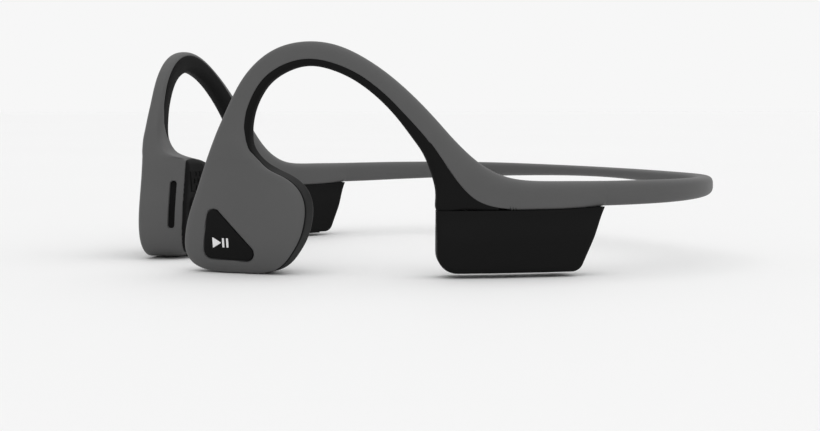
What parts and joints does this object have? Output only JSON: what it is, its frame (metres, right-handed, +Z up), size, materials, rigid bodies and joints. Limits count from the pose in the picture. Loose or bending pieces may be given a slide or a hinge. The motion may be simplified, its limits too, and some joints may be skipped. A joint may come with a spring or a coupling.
{
  "type": "bone conduction headphones",
  "caption": "Wraparound bone conduction headphones with a flexible neckband, ear hooks, cheekbone drivers, electronics pods and press keys.",
  "frame": {"origin": "under the middle of the outline, level with the bottom of the drivers", "axes": "+X towards the wearer's left, -Y towards the face, +Z up"},
  "size_m": [0.1324, 0.124, 0.0492],
  "materials": {
    "grey_skin": "soft-touch silicone, matte, fine grain",
    "black_skin": "soft-touch silicone, matte",
    "black_shell": "matte moulded plastic with a fine grain",
    "black_part": "moulded",
    "titanium": "drawn titanium wire",
    "steel": "stamped",
    "magnet": "nickel plated",
    "copper": "enamelled copper winding",
    "gold_mesh": "gold-plated can",
    "circuit": "solder mask",
    "cell": "foil pouch",
    "foam": "closed-cell foam",
    "clear": "clear light guide",
    "black_insulation": "cable insulation"
  },
  "bodies": {
    "neckband": {"neckband_sleeve": "grey_skin", "neckband_wire": "titanium", "neckband_cable": "black_insulation"},
    "left_arm": {"left_hook_skin": "grey_skin", "left_hook_liner": "black_skin", "left_edge_trim": "black_skin", "left_hook_wire": "titanium", "left_hook_cable": "black_insulation", "left_driver_housing": "black_shell", "left_contact_pad": "black_skin", "left_vent_grille": "black_part", "left_driver_frame": "black_part", "left_voice_coil": "copper", "left_driver_spring": "steel", "left_microphone": "gold_mesh", "left_pod_outer_shell": "black_shell", "left_pod_inner_shell": "black_shell", "battery_cell": "cell", "battery_foam_pad": "foam", "battery_board": "circuit", "button_switch": "steel", "button_board": "circuit"},
    "right_arm": {"right_hook_skin": "grey_skin", "right_hook_liner": "black_skin", "right_edge_trim": "black_skin", "right_hook_wire": "titanium", "right_hook_cable": "black_insulation", "right_driver_housing": "black_shell", "right_contact_pad": "black_skin", "right_vent_grille": "black_part", "right_driver_frame": "black_part", "right_voice_coil": "copper", "right_driver_spring": "steel", "right_microphone": "gold_mesh", "right_pod_outer_shell": "black_shell", "right_pod_inner_shell": "black_shell", "main_board": "circuit", "bluetooth_module": "steel", "usb_port": "steel", "volume_switches": "steel", "light_pipe": "clear", "vibration_motor": "steel"},
    "left_driver_magnet": {"left_magnet_yoke": "steel", "left_magnet": "magnet", "left_top_plate": "steel"},
    "right_driver_magnet": {"right_magnet_yoke": "steel", "right_magnet": "magnet", "right_top_plate": "steel"},
    "multifunction_key": {"multifunction_button": "black_skin"},
    "volume_up_key": {"volume_up_button": "black_skin"},
    "volume_down_key": {"volume_down_button": "black_skin"},
    "port_cover": {"charge_port_cover": "black_skin"}
  },
  "joints": [
    {"name": "left_spread", "type": "hinge", "parent": "neckband", "child": "left_arm", "pos_m": [0.0407, 0.0468, 0.018], "axis": [0, 0, 1], "range_deg": [0, 25], "stiffness_Nm_per_rad": 0.6, "deforming": ["neckband_sleeve", "neckband_wire", "neckband_cable"]},
    {"name": "right_spread", "type": "hinge", "parent": "neckband", "child": "right_arm", "pos_m": [-0.0407, 0.0468, 0.018], "axis": [0, 0, -1], "range_deg": [0, 25], "stiffness_Nm_per_rad": 0.6, "deforming": ["neckband_sleeve", "neckband_wire", "neckband_cable"]},
    {"name": "left_driver_shake", "type": "slide", "parent": "left_arm", "child": "left_driver_magnet", "axis": [0.6503, -0.7597, 0], "range_m": [-0.0002, 0.0002], "stiffness_N_per_m": 300, "deforming": ["left_driver_spring"]},
    {"name": "right_driver_shake", "type": "slide", "parent": "right_arm", "child": "right_driver_magnet", "axis": [-0.6503, -0.7597, 0], "range_m": [-0.0002, 0.0002], "stiffness_N_per_m": 300, "deforming": ["right_driver_spring"]},
    {"name": "multifunction_press", "type": "slide", "parent": "left_arm", "child": "multifunction_key", "axis": [-0.6119, 0.791, 0], "range_m": [0, 0.0004]},
    {"name": "volume_up_press", "type": "slide", "parent": "right_arm", "child": "volume_up_key", "axis": [0, 0, 1], "range_m": [0, 0.0003]},
    {"name": "volume_down_press", "type": "slide", "parent": "right_arm", "child": "volume_down_key", "axis": [0, 0, 1], "range_m": [0, 0.0003]},
    {"name": "port_cover_swing", "type": "hinge", "parent": "right_arm", "child": "port_cover", "pos_m": [-0.05285, -0.01838, 0.00125], "axis": [-0.9048, -0.4259, 0], "range_deg": [0, 100]}
  ]
}
